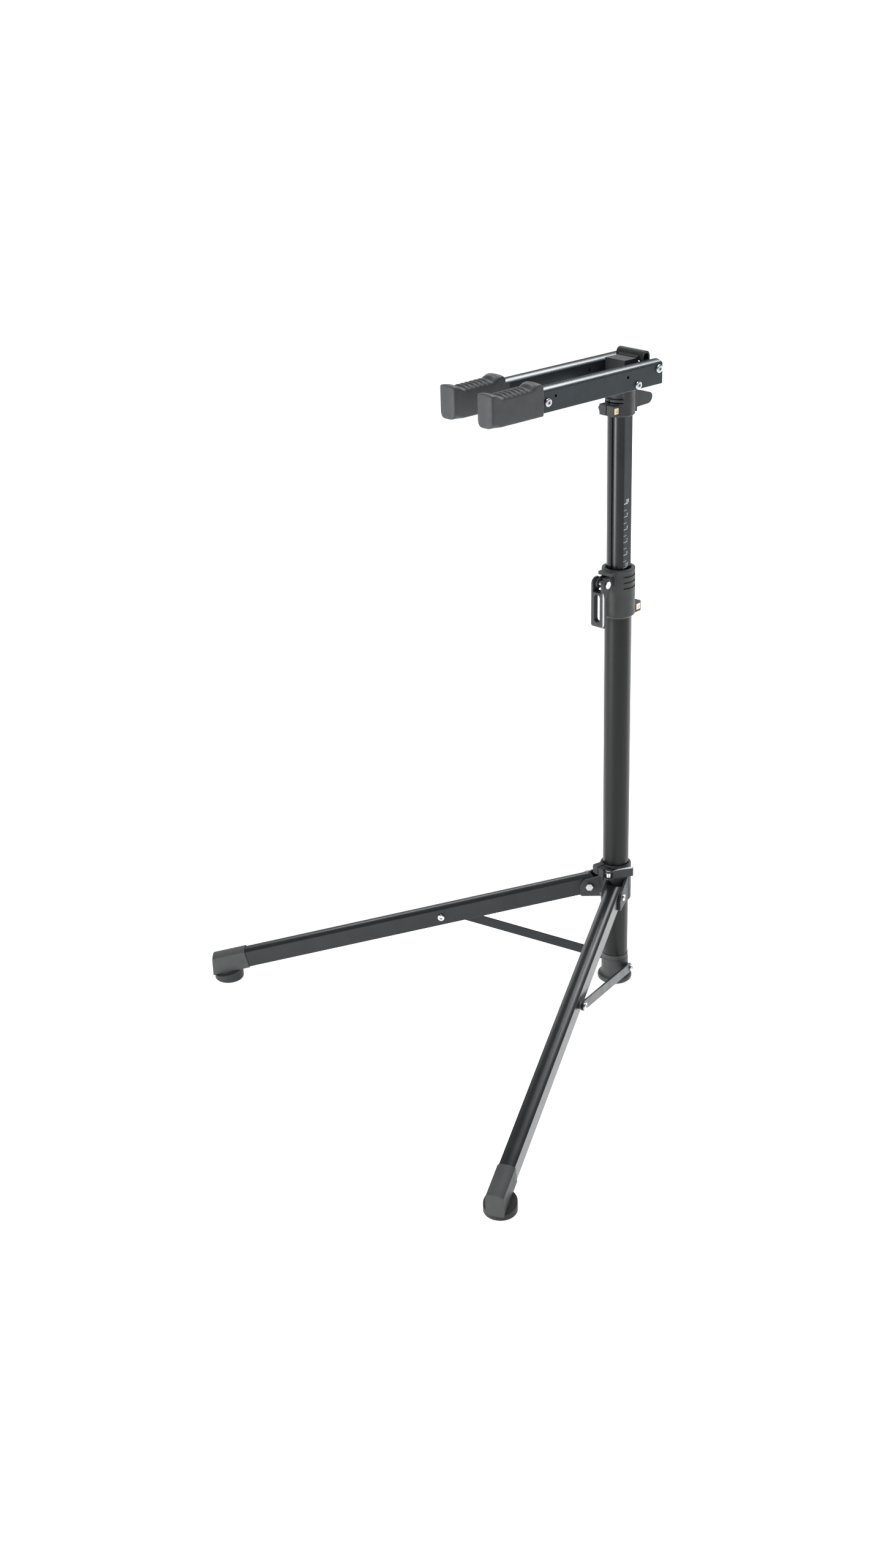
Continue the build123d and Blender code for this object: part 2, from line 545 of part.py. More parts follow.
for side, hand in ((1, "right"), (-1, "left")):
    front = Plane(origin=(side * ARM_X, ARM_REAR, 0), x_dir=(1, 0, 0), z_dir=(0, -1, 0))
    with BuildPart() as arm:
        with BuildSketch(front) as arm_profile:
            crowned(ARM_HALF, ARM_BOTTOM, ARM_SIDE_TOP, ARM_CROWN)
            fillet(arm_profile.vertices(), 1.2)
            crowned(
                ARM_HALF - ARM_WALL,
                ARM_BOTTOM + ARM_WALL,
                ARM_SIDE_TOP - 0.7,
                ARM_CROWN - ARM_WALL,
                mode=Mode.SUBTRACT,
            )
        extrude(amount=ARM_REAR - ARM_FRONT)
        for y, z, radius in (
            (FOLD_Y, FOLD_Z, M8_R),
            (LATCH_Y, LATCH_Z, M8_R),
            (GRIP_BOLT_Y, GRIP_BOLT_Z, M6_R),
            (-213.2, 1218.4, 2.6),
            (-42.9, 1218.3, 2.6),
        ):
            disc(x_plane(side * ARM_X - 20, y, z), radius, 40.0, mode=Mode.SUBTRACT)
    write(arm, f"arm_{hand}")

    with BuildPart() as grip:
        with BuildSketch(x_plane(side * ARM_X - GRIP_HALF, 0, 0)):
            with BuildLine():
                Polyline((GRIP_BACK, 1241.0), (GRIP_BACK, 1192.0), (GRIP_BACK - 3, 1189.6), (-350.0, 1189.6))
                ThreePointArc((-350.0, 1189.6), (-355.5, 1191.4), (-358.0, 1196.0))
                Line((-358.0, 1196.0), (-358.0, 1239.0))
                ThreePointArc((-358.0, 1239.0), (-355.5, 1244.0), (-350.0, 1245.6))
                ThreePointArc((-350.0, 1245.6), (-344.0, 1243.4), (-338.0, 1238.6))
                Line((-338.0, 1238.6), (-274.0, 1239.0))
                ThreePointArc((-274.0, 1239.0), (-266.0, 1243.4), (-256.0, 1245.8))
                ThreePointArc((-256.0, 1245.8), (-248.0, 1244.8), (GRIP_BACK, 1241.0))
            make_face()
        extrude(amount=2 * GRIP_HALF)
        # crowned nose
        with BuildSketch(Plane(origin=(side * ARM_X, 0, 1191.5), x_dir=(1, 0, 0), z_dir=(0, 0, 1))):
            with BuildLine():
                ThreePointArc((-GRIP_HALF, -357.0), (0, -361.5), (GRIP_HALF, -357.0))
                Line((GRIP_HALF, -357.0), (-GRIP_HALF, -357.0))
            make_face()
        extrude(amount=52.0)
        # the crown's cross-section: shoulders fall away either side
        with BuildSketch(Plane(origin=(side * ARM_X, -338.0, 0), x_dir=(1, 0, 0), z_dir=(0, 1, 0))):
            with BuildLine():
                Polyline((GRIP_HALF, -1231.0), (GRIP_HALF, -1250.0), (-GRIP_HALF, -1250.0), (-GRIP_HALF, -1231.0))
                ThreePointArc((-GRIP_HALF, -1231.0), (0, -1239.0), (GRIP_HALF, -1231.0))
            make_face()
        extrude(amount=64.0, mode=Mode.SUBTRACT)
        # finger ribs across the saddle
        for rib in range(6):
            y = -333.0 + 10.4 * rib
            with BuildSketch(x_plane(side * ARM_X - GRIP_HALF, 0, 0)):
                with Locations((y, 1240.4)):
                    Circle(2.6)
            extrude(amount=2 * GRIP_HALF, mode=Mode.SUBTRACT)
        # socket for the arm
        with BuildSketch(Plane(origin=(side * ARM_X, GRIP_BACK + 1, 0), x_dir=(1, 0, 0), z_dir=(0, -1, 0))):
            crowned(ARM_HALF + RUN, ARM_BOTTOM - RUN, ARM_SIDE_TOP, ARM_CROWN + RUN)
        extrude(amount=GRIP_BACK + 1 - ARM_FRONT, mode=Mode.SUBTRACT)
    write(grip, f"grip_{hand}")

plugs = []
for side in (1, -1):
    with BuildPart() as plug:
        with BuildSketch(Plane(origin=(side * ARM_X, ARM_REAR - 0.4, 0), x_dir=(1, 0, 0), z_dir=(0, -1, 0))):
            inset = ARM_WALL + RUN
            crowned(ARM_HALF - inset, ARM_BOTTOM + inset, ARM_SIDE_TOP - 0.75, ARM_CROWN - inset)
        extrude(amount=4.5)
    plugs.append(plug)
write_group(plugs, "arm_end_plugs")

ARM_OUTER = ARM_X + ARM_HALF
write_group(
    [
        screw(x_plane(side * ARM_OUTER, GRIP_BOLT_Y, GRIP_BOLT_Z, facing=side), M6_R, 2 * ARM_HALF)
        for side in (1, -1)
    ],
    "grip_bolts",
)
for name, y, z in (("arm_pivot_bolt", FOLD_Y, FOLD_Z), ("latch_bolt", LATCH_Y, LATCH_Z)):
    write(screw(x_plane(ARM_OUTER, y, z), M8_R, 2 * ARM_OUTER + 5.0), name)
    write(hex_nut(x_plane(-ARM_OUTER, y, z, facing=-1), M8_R, height=5.0), name.replace("bolt", "nut"))

LATCH_SPACER_R = 5.0
with BuildPart() as latch_spacer:
    with BuildSketch(x_plane(-ARM_X + ARM_HALF, LATCH_Y, LATCH_Z)):
        Circle(LATCH_SPACER_R)
        Circle(M8_R, mode=Mode.SUBTRACT)
    extrude(amount=2 * (ARM_X - ARM_HALF))
write(latch_spacer, "latch_spacer")

tabs = []
for side in (1, -1):
    with BuildPart() as tab:
        with BuildSketch(Plane(origin=(side * ARM_X, -232.5, 0), x_dir=(1, 0, 0), z_dir=(0, -1, 0))):
            corners = ((-14.9, 1218.0), (-14.0, 1218.0), (-14.0, 1229.6), (-12.4, 1231.0), (-14.9, 1230.6))
            Polygon(*[(side * x, z) for x, z in corners], align=None)
        extrude(amount=11.3)
    tabs.append(tab)
write_group(tabs, "grip_stop_tabs")

# === latch handle behind the head ============================================================================

LATCH_HALF = ARM_X - ARM_HALF - GAP
with BuildPart() as latch_handle:
    with BuildSketch(x_plane(-LATCH_HALF, 0, 0)):
        with BuildLine():
            Line((21.5, 1231.6), (21.5, 1238.0))
            ThreePointArc((21.5, 1238.0), (30.9, 1247.3), (40.2, 1238.0))
            Polyline((40.2, 1238.0), (40.2, 1226.5), (37.2, 1226.5), (37.2, 1237.8))
            ThreePointArc((37.2, 1237.8), (31.0, 1243.6), (24.9, 1237.8))
            Polyline((24.9, 1237.8), (24.9, 1231.6), (21.5, 1231.6))
        make_face()
    extrude(amount=2 * LATCH_HALF)
    # lip that meets the block's top
    with BuildSketch(x_plane(-HEAD_BLOCK_HALF + 0.3, 0, 0)):
        Polygon((21.7, 1240.0), (16.9, 1236.8), (18.8, 1234.2), (21.7, 1232.0), align=None)
    extrude(amount=2 * HEAD_BLOCK_HALF - 0.6)
    # eyes that turn on the spacer
    for x in (-LATCH_HALF, 24.0):
        with BuildSketch(x_plane(x, 0, 0)):
            with Locations((LATCH_Y, LATCH_Z)):
                Circle(8.0)
            Polygon((24.6, 1222.0), (40.2, 1222.0), (40.2, 1231.6), (22.0, 1231.6), (22.0, 1228.0), align=None)
        extrude(amount=LATCH_HALF - 24.0)
    disc(x_plane(-40, LATCH_Y, LATCH_Z), LATCH_SPACER_R + RUN, 80.0, mode=Mode.SUBTRACT)
write(latch_handle, "latch_handle")

# === hub that slides on the mast =============================================================================

HUB_FLOOR = upright_plane(HUB_YAW, 0, 0, HUB_BOTTOM)
EAR_GAP = LEG_HALF + 0.4
EAR_THICK = 4.8
with BuildPart() as hub:
    disc(HUB_FLOOR, HUB_R, HUB_TOP - HUB_BOTTOM)
    chamfer(edges().filter_by(GeomType.CIRCLE).group_by(Axis.Z)[-1], length=6.0, length2=4.0)
    chamfer(edges().filter_by(GeomType.CIRCLE).group_by(Axis.Z)[0], length=3.0)
    # clamping ears in front
    slab(
        upright_plane(HUB_YAW, 0, (HUB_EAR_FRONT - 20.0) / 2, HUB_EAR_LOW),
        2 * HUB_EAR_HALF,
        -HUB_EAR_FRONT - 20.0,
        HUB_EAR_HIGH - HUB_EAR_LOW,
    )
    # two plates either side of each leg
    for side in (1, -1):
        for off in (LEG_OFF + EAR_GAP + EAR_THICK / 2, LEG_OFF - EAR_GAP - EAR_THICK / 2):
            with BuildSketch(leg_plane(side, off)):
                with BuildLine():
                    Polyline((12.0, 188.0), (66.0, 188.0), (69.0, 191.0), (69.0, 207.0))
                    ThreePointArc((69.0, 207.0), (64.0, 219.5), (52.0, 225.0))
                    Polyline((52.0, 225.0), (12.0, 236.0), (12.0, 188.0))
                make_face()
            extrude(amount=EAR_THICK / 2, both=True)
    disc(HUB_FLOOR, 27.0, HUB_TOP - HUB_BOTTOM, mode=Mode.SUBTRACT)
    # keep the space between each pair of plates clear for the leg
    for side in (1, -1):
        with BuildSketch(leg_plane(side, LEG_OFF)):
            with Locations((LEG_PIVOT_R, LEG_PIVOT_Z)):
                Circle(20.6)
            with Locations((LEG_PIVOT_R + 20, LEG_PIVOT_Z)):
                Rectangle(40, 41.2)
        extrude(amount=EAR_GAP, both=True, mode=Mode.SUBTRACT)
        disc(leg_pin_plane(side, LEG_PIVOT_R, -30, LEG_PIVOT_Z), M8_R, 70.0, mode=Mode.SUBTRACT)
    # slit between the clamping ears and the skewer's hole
    slab(upright_plane(HUB_YAW, 0, -35.0, 226.0), 2.4, 22.0, 50.0, mode=Mode.SUBTRACT)
    disc(frame_pin_plane(HUB_YAW, -20, SKEWER_Y, SKEWER_Z), M6_R, 40.0, mode=Mode.SUBTRACT)
write(hub, "hub")

with BuildPart() as hub_bush:
    with BuildSketch(upright_plane(HUB_YAW, 0, 0, HUB_BOTTOM + 4)):
        Circle(27.0)
        Circle(MAST_R + GAP, mode=Mode.SUBTRACT)
    extrude(amount=HUB_TOP - HUB_BOTTOM - 8)
write(hub_bush, "hub_bush")

write_group(
    [
        screw(
            leg_pin_plane(side, LEG_PIVOT_R, LEG_OFF + EAR_GAP + EAR_THICK, LEG_PIVOT_Z),
            M8_R,
            2 * (EAR_GAP + EAR_THICK) + 5.5,
        )
        for side in (1, -1)
    ],
    "leg_pivot_bolts",
)


def inner_pin_plane(side):
    """Plane on the inner face of a leg's inner plate, facing the mast's middle."""
    plane = leg_pin_plane(side, LEG_PIVOT_R, LEG_OFF - EAR_GAP - EAR_THICK, LEG_PIVOT_Z)
    return Plane(origin=plane.origin, x_dir=plane.x_dir, z_dir=plane.z_dir * -1)


write_group([hex_nut(inner_pin_plane(side), M8_R, height=5.5) for side in (1, -1)], "leg_pivot_nuts")

# skewer: a rod across the ears that ends in an upright eye for the lever's pin
with BuildPart() as hub_skewer:
    disc(frame_pin_plane(HUB_YAW, -HUB_EAR_HALF - 6.0, SKEWER_Y, SKEWER_Z), M6_R, HUB_EAR_HALF + 6.0 + 19.5)
    disc(upright_plane(HUB_YAW, HUB_PIN_X, SKEWER_Y, SKEWER_Z - 5.0), 4.6, 10.0)
    disc(upright_plane(HUB_YAW, HUB_PIN_X, SKEWER_Y, SKEWER_Z - 6.0), 2.5 + RUN, 12.0, mode=Mode.SUBTRACT)
write(hub_skewer, "hub_skewer")

hub_skewer_nut = hex_nut(
    frame_pin_plane(HUB_YAW, -HUB_EAR_HALF, SKEWER_Y, SKEWER_Z, facing=-1), M6_R, across_flats=10.0, height=5.0
)
write(hub_skewer_nut, "hub_skewer_nut")

# === quick-release lever of the hub ==========================================================================

LEVER_LOW = SKEWER_Z - 8.4
LEVER_TALL = 16.8
with BuildPart() as hub_lever:
    with BuildSketch(upright_plane(HUB_YAW, 0, 0, LEVER_LOW)) as lever_plan:
        with BuildLine():
            ThreePointArc((27.4, -41.5), (32.6, -17.5), (43.0, 8.9))
            Line((43.0, 8.9), (37.0, 13.6))
            ThreePointArc((37.0, 13.6), (28.4, -12.0), (22.6, -38.0))
            Line((22.6, -38.0), (27.4, -41.5))
        make_face()
        with Locations((HUB_PIN_X, SKEWER_Y)):
            Circle(6.6)
    extrude(amount=LEVER_TALL)
    # fork round the skewer's eye
    with BuildSketch(upright_plane(HUB_YAW, 0, 0, SKEWER_Z - 5.3)):
        with Locations((HUB_PIN_X, SKEWER_Y)):
            Circle(8.2)
        with Locations((HUB_PIN_X - 6, SKEWER_Y)):
            Rectangle(12, 16.4)
    extrude(amount=10.6, mode=Mode.SUBTRACT)
    disc(upright_plane(HUB_YAW, HUB_PIN_X, SKEWER_Y, LEVER_LOW), 2.5, 30.0, mode=Mode.SUBTRACT)
write(hub_lever, "hub_lever")

with BuildPart() as hub_lever_pin:
    disc(upright_plane(HUB_YAW, HUB_PIN_X, SKEWER_Y, LEVER_LOW), 2.5, LEVER_TALL)
    disc(upright_plane(HUB_YAW, HUB_PIN_X, SKEWER_Y, LEVER_LOW + LEVER_TALL), 5.0, 1.6)
    disc(upright_plane(HUB_YAW, HUB_PIN_X, SKEWER_Y, LEVER_LOW - 1.4), 4.0, 1.4)
    fillet(edges().filter_by(GeomType.CIRCLE).group_by(Axis.Z)[-1], 0.8)
write(hub_lever_pin, "hub_lever_pin")

# === legs ====================================================================================================

BRACE_R, BRACE_Z = leg_rz(BRACE_ALONG, 0)
BRACE_LENGTH = sqrt(BRACE_R**2 + (BRACE_Z - BRACE_FOOT_Z) ** 2)
BRACE_TILT = atan2(BRACE_Z - BRACE_FOOT_Z, BRACE_R) * 180 / pi
SPACER_IN = LEG_OFF + LEG_HALF + 0.4

for side, hand in ((1, "right"), (-1, "left")):
    with BuildPart() as leg_tube:
        with BuildSketch(leg_section(side, -20.0)) as leg_profile:
            crowned(LEG_HALF, LEG_LOW, LEG_SIDE_TOP, LEG_CROWN)
            fillet(leg_profile.vertices(), 1.2)
            crowned(
                LEG_HALF - LEG_WALL,
                LEG_LOW + LEG_WALL,
                LEG_SIDE_TOP - 0.6,
                LEG_CROWN - LEG_WALL,
                mode=Mode.SUBTRACT,
            )
        extrude(amount=LEG_TUBE_END + 20.0)
        # the inner end is rounded about the pivot
        with BuildSketch(leg_plane(side, LEG_OFF)):
            with BuildLine():
                ThreePointArc(leg_rz(0, LEG_CROWN + 0.5), leg_rz(-18.7, 1.4), leg_rz(0, LEG_LOW - 0.5))
                Polyline(
                    leg_rz(0, LEG_LOW - 0.5),
                    leg_rz(LEG_TUBE_END, LEG_LOW - 0.5),
                    leg_rz(LEG_TUBE_END, LEG_CROWN + 0.5),
                    leg_rz(0, LEG_CROWN + 0.5),
                )
            make_face()
        extrude(amount=LEG_HALF + 1, both=True, mode=Mode.INTERSECT)
        disc(leg_pin_plane(side, LEG_PIVOT_R, -12, LEG_PIVOT_Z), 6.0, 50.0, mode=Mode.SUBTRACT)
        disc(leg_pin_plane(side, BRACE_R, -12, BRACE_Z), M8_R, 50.0, mode=Mode.SUBTRACT)
    write(leg_tube, f"leg_tube_{hand}")

    with BuildPart() as pivot_bush:
        with BuildSketch(leg_pin_plane(side, LEG_PIVOT_R, LEG_OFF - LEG_HALF, LEG_PIVOT_Z)):
            Circle(6.0)
            Circle(M8_R + RUN, mode=Mode.SUBTRACT)
        extrude(amount=2 * LEG_HALF)
    write(pivot_bush, f"leg_pivot_bush_{hand}")

    inner_face = leg_pin_plane(side, BRACE_R, LEG_OFF - LEG_HALF, BRACE_Z)
    with BuildPart() as anchor:
        button_head(Plane(origin=inner_face.origin, x_dir=inner_face.x_dir, z_dir=inner_face.z_dir * -1))
        disc(inner_face, M8_R, 2 * LEG_HALF)
    write(anchor, f"brace_anchor_{hand}")

    # foot cap of the leg: a boot over the tube's end, cut upright at its nose
    with BuildPart() as leg_cap:
        with BuildSketch(leg_section(side, CAP_START)) as cap_profile:
            crowned(
                LEG_HALF + CAP_WALL,
                LEG_LOW - CAP_WALL,
                LEG_SIDE_TOP + CAP_WALL * 0.8,
                LEG_CROWN + CAP_WALL,
            )
            fillet(cap_profile.vertices(), 2.2)
        extrude(amount=120.0)
        with BuildSketch(leg_plane(side, LEG_OFF)):
            with Locations((CAP_END_R + 50, 50)):
                Rectangle(100, 200)
        extrude(amount=40, both=True, mode=Mode.SUBTRACT)
        with BuildSketch(leg_section(side, CAP_START - 5)):
            crowned(LEG_HALF + RUN, LEG_LOW - RUN, LEG_SIDE_TOP, LEG_CROWN + RUN)
        extrude(amount=LEG_TUBE_END - CAP_START + 5, mode=Mode.SUBTRACT)
        # conical seat of the pad
        with BuildSketch(leg_plane(side, LEG_OFF)):
            with BuildLine():
                Polyline(
                    (PAD_CENTRE_R, -5.0),
                    (PAD_CENTRE_R + 27.0, -5.0),
                    (PAD_CENTRE_R + 27.0, 6.0),
                    (PAD_CENTRE_R + 15.8, 19.7),
                    (PAD_CENTRE_R, 19.7),
                    (PAD_CENTRE_R, -5.0),
                )
            make_face()
        revolve(axis=Axis(leg_point(side, PAD_CENTRE_R, LEG_OFF, 0), (0, 0, 1)), mode=Mode.SUBTRACT)
    write(leg_cap, f"leg_cap_{hand}")

    with BuildPart() as leg_pad:
        with BuildSketch(leg_plane(side, LEG_OFF)):
            with BuildLine():
                Polyline((PAD_CENTRE_R, 0.0), (PAD_CENTRE_R + PAD_R - 3.5, 0.0))
                ThreePointArc(
                    (PAD_CENTRE_R + PAD_R - 3.5, 0.0),
                    (PAD_CENTRE_R + PAD_R - 0.8, 1.6),
                    (PAD_CENTRE_R + PAD_R, 4.6),
                )
                Polyline(
                    (PAD_CENTRE_R + PAD_R, 4.6),
                    (PAD_CENTRE_R + PAD_R, 28.0),
                    (PAD_CENTRE_R, 28.0),
                    (PAD_CENTRE_R, 0.0),
                )
            make_face()
        revolve(axis=Axis(leg_point(side, PAD_CENTRE_R, LEG_OFF, 0), (0, 0, 1)))
        # its top follows the slope of the cap's underside
        with BuildSketch(leg_plane(side, LEG_OFF)):
            with BuildLine():
                Polyline(
                    leg_rz(650.0, LEG_LOW - CAP_WALL),
                    leg_rz(820.0, LEG_LOW - CAP_WALL),
                    leg_rz(820.0, 60.0),
                    leg_rz(650.0, 60.0),
                    leg_rz(650.0, LEG_LOW - CAP_WALL),
                )
            make_face()
        extrude(amount=40, both=True, mode=Mode.SUBTRACT)
        # cone that fills the cap's seat
        with BuildSketch(leg_plane(side, LEG_OFF)):
            with BuildLine():
                Polyline(
                    (PAD_CENTRE_R, 3.0),
                    (PAD_CENTRE_R + 27.0, 3.0),
                    (PAD_CENTRE_R + 27.0, 6.0),
                    (PAD_CENTRE_R + 15.8, 19.7),
                    (PAD_CENTRE_R, 19.7),
                    (PAD_CENTRE_R, 3.0),
                )
            make_face()
        revolve(axis=Axis(leg_point(side, PAD_CENTRE_R, LEG_OFF, 0), (0, 0, 1)))
    write(leg_pad, f"leg_pad_{hand}")

    # brace: flat bar with rounded ends, outside the leg, from the mast's foot to the leg
    with BuildPart() as brace_bar:
        with BuildSketch(leg_plane(side, (BRACE_IN + BRACE_OUT) / 2)):
            with Locations((BRACE_R / 2, (BRACE_FOOT_Z + BRACE_Z) / 2)):
                SlotCenterToCenter(BRACE_LENGTH, 2 * BRACE_HALF, rotation=BRACE_TILT)
        extrude(amount=(BRACE_OUT - BRACE_IN) / 2, both=True)
        disc(leg_pin_plane(side, 0, 0, BRACE_FOOT_Z), M6_R + RUN, 50.0, mode=Mode.SUBTRACT)
        disc(leg_pin_plane(side, BRACE_R, 0, BRACE_Z), M8_R, 50.0, mode=Mode.SUBTRACT)
    write(brace_bar, f"brace_bar_{hand}")

    with BuildPart() as brace_spacer:
        with BuildSketch(leg_pin_plane(side, BRACE_R, SPACER_IN, BRACE_Z)):
            Circle(7.0)
            Circle(M8_R, mode=Mode.SUBTRACT)
        extrude(amount=BRACE_IN - SPACER_IN)
    write(brace_spacer, f"brace_spacer_{hand}")

    brace_bolt = screw(leg_pin_plane(side, BRACE_R, BRACE_OUT, BRACE_Z), M8_R, BRACE_OUT - SPACER_IN)
    write(brace_bolt, f"brace_bolt_{hand}")
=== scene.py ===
"""Looks of the folding repair stand: materials, moulded detail, printed scale, studio and camera.

The stand's shapes are given in millimetres, the studio and the camera in metres.
"""

import json
import math

import bmesh
import bpy
from mathutils import Matrix, Vector


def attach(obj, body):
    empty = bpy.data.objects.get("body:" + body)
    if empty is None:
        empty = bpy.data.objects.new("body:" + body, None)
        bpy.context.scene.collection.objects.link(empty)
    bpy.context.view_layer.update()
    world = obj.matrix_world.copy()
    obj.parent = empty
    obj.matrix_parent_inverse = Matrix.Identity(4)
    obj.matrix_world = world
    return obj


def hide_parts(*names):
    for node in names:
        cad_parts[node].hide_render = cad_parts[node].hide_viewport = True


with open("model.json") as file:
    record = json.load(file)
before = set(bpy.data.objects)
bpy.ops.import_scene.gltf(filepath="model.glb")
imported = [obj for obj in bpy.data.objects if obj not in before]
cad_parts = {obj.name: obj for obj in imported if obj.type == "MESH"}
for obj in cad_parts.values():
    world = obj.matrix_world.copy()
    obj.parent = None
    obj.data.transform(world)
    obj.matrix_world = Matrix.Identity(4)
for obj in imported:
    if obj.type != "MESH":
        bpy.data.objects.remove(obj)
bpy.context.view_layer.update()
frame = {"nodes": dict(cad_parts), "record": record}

MM = 0.001


def add_vertex(bm, point):
    """Vertex at a point given in millimetres."""
    return bm.verts.new([c * MM for c in point])


def bridge(bm, rings):
    """Faces between each closed ring of vertices and the next."""
    for first, second in zip(rings, rings[1:]):
        for i in range(len(first)):
            j = (i + 1) % len(first)
            bm.faces.new((first[i], first[j], second[j], second[i]))


def add_object(name, bm, material):
    """Object in the scene from a finished bmesh."""
    mesh = bpy.data.meshes.new(name)
    bm.to_mesh(mesh)
    bm.free()
    mesh.materials.append(material)
    obj = bpy.data.objects.new(name, mesh)
    bpy.context.scene.collection.objects.link(obj)
    return obj


# === materials ===================================================================================

NOISE_ENDS = (0.3, 0.7)  # nearly all of a noise's values lie between these

# scale of an extrusion's drawing lines in x, y and z: drawn out along one axis, or only coarser
ALONG_Y = (1, 0.02, 1)
ALONG_Z = (1, 1, 0.02)
COARSE = (0.3, 0.3, 0.3)
MEDIUM = (0.5, 0.5, 0.5)


def new_material(name):
    """Empty material with a principled shader: the material, its node tree and the shader."""
    mat = bpy.data.materials.new(name)
    mat.use_nodes = True
    tree = mat.node_tree
    tree.nodes.clear()
    out = tree.nodes.new("ShaderNodeOutputMaterial")
    shader = tree.nodes.new("ShaderNodeBsdfPrincipled")
    tree.links.new(shader.outputs["BSDF"], out.inputs["Surface"])
    return mat, tree, shader


def noise(tree, scale, detail, rough, stretch=(1, 1, 1)):
    """Noise in the object's own coordinates."""
    tex = tree.nodes.new("ShaderNodeTexCoord")
    mapping = tree.nodes.new("ShaderNodeMapping")
    mapping.inputs["Scale"].default_value = stretch
    tree.links.new(tex.outputs["Object"], mapping.inputs["Vector"])
    node = tree.nodes.new("ShaderNodeTexNoise")
    node.inputs["Scale"].default_value = scale
    node.inputs["Detail"].default_value = detail
    node.inputs["Roughness"].default_value = rough
    tree.links.new(mapping.outputs["Vector"], node.inputs["Vector"])
    return node.outputs["Fac"]


def colour_by(tree, shader, pattern, dark, light, ends=NOISE_ENDS):
    """Base colour that follows a pattern from a dark tone to a light one."""
    node = tree.nodes.new("ShaderNodeValToRGB")
    for element, position, rgb in zip(node.color_ramp.elements, ends, (dark, light)):
        element.position = position
        element.color = (*rgb, 1.0)
    tree.links.new(pattern, node.inputs["Fac"])
    tree.links.new(node.outputs["Color"], shader.inputs["Base Color"])


def roughness_by(tree, shader, pattern, low, high):
    """Roughness that follows a pattern between two values."""
    node = tree.nodes.new("ShaderNodeMapRange")
    node.inputs["From Min"].default_value, node.inputs["From Max"].default_value = NOISE_ENDS
    node.inputs["To Min"].default_value = low
    node.inputs["To Max"].default_value = high
    tree.links.new(pattern, node.inputs["Value"])
    tree.links.new(node.outputs["Result"], shader.inputs["Roughness"])


def soft_edges(tree, radius):
    """Normals rounded over every sharp edge."""
    node = tree.nodes.new("ShaderNodeBevel")
    node.samples = 6
    node.inputs["Radius"].default_value = radius
    return node.outputs["Normal"]


def bump(tree, shader, pattern, strength, distance, normals=None):
    """Fine relief from a pattern, on top of rounded normals where they are given."""
    node = tree.nodes.new("ShaderNodeBump")
    node.inputs["Strength"].default_value = strength
    node.inputs["Distance"].default_value = distance
    tree.links.new(pattern, node.inputs["Height"])
    if normals is not None:
        tree.links.new(normals, node.inputs["Normal"])
    tree.links.new(node.outputs["Normal"], shader.inputs["Normal"])


def shade(rgb, factor):
    return tuple(c * factor for c in rgb)


def anodised(name, rgb, stretch, rough, metallic, specular=0.3, streaks=0.045):
    """Satin anodised extrusion: fine drawing lines along its length and a faint mottle."""
    mat, tree, shader = new_material(name)
    mottle = noise(tree, scale=26.0, detail=5.0, rough=0.55)
    colour_by(tree, shader, mottle, shade(rgb, 0.9), shade(rgb, 1.1))
    lines = noise(tree, scale=60.0, detail=3.0, rough=0.6, stretch=stretch)
    roughness_by(tree, shader, lines, rough - streaks, rough + streaks)
    shader.inputs["Metallic"].default_value = metallic
    shader.inputs["Specular IOR Level"].default_value = specular
    fine = noise(tree, scale=2600.0, detail=2.0, rough=0.5)
    bump(tree, shader, fine, strength=0.03, distance=0.0003, normals=soft_edges(tree, 0.0005))
    return mat


def grained(name, rgb, rough, grain, fineness, specular=0.3, edge=0.0009):
    """Moulded or coated surface with a fine grain and slight wear in its tone."""
    mat, tree, shader = new_material(name)
    wear = noise(tree, scale=34.0, detail=6.0, rough=0.6)
    colour_by(tree, shader, wear, shade(rgb, 0.88), shade(rgb, 1.12), ends=(0.28, 0.72))
    patches = noise(tree, scale=90.0, detail=3.0, rough=0.5)
    roughness_by(tree, shader, patches, rough - 0.05, rough + 0.06)
    shader.inputs["Specular IOR Level"].default_value = specular
    fine = noise(tree, scale=fineness, detail=3.0, rough=0.6)
    bump(tree, shader, fine, strength=grain, distance=0.0004, normals=soft_edges(tree, edge))
    return mat


def plated(name, rgb, rough, metallic=1.0):
    """Bright plated steel or brass with turning marks."""
    mat, tree, shader = new_material(name)
    marks = noise(tree, scale=300.0, detail=4.0, rough=0.6)
    colour_by(tree, shader, marks, shade(rgb, 0.86), rgb)
    roughness_by(tree, shader, marks, rough * 0.7, rough * 1.4)
    shader.inputs["Metallic"].default_value = metallic
    fine = noise(tree, scale=1500.0, detail=2.0, rough=0.5)
    bump(tree, shader, fine, strength=0.08, distance=0.0002)
    return mat


def printed_ink():
    """Pale print that covers the tube a little unevenly."""
    mat, tree, shader = new_material("printed_ink")
    cover = noise(tree, scale=900.0, detail=4.0, rough=0.6)
    colour_by(tree, shader, cover, (0.62, 0.63, 0.64), (0.86, 0.87, 0.88))
    shader.inputs["Roughness"].default_value = 0.5
    bump(tree, shader, cover, strength=0.1, distance=0.0001)
    return mat


def paper_floor():
    """White studio paper that also glows a little, so that it comes out near white."""
    mat, tree, shader = new_material("paper_floor")
    fibres = noise(tree, scale=3.0, detail=3.0, rough=0.5)
    colour_by(tree, shader, fibres, (0.93, 0.93, 0.93), (0.96, 0.96, 0.96))
    shader.inputs["Roughness"].default_value = 0.9
    shader.inputs["Specular IOR Level"].default_value = 0.1
    shader.inputs["Emission Color"].default_value = (1.0, 1.0, 1.0, 1.0)
    shader.inputs["Emission Strength"].default_value = 0.86
    return mat


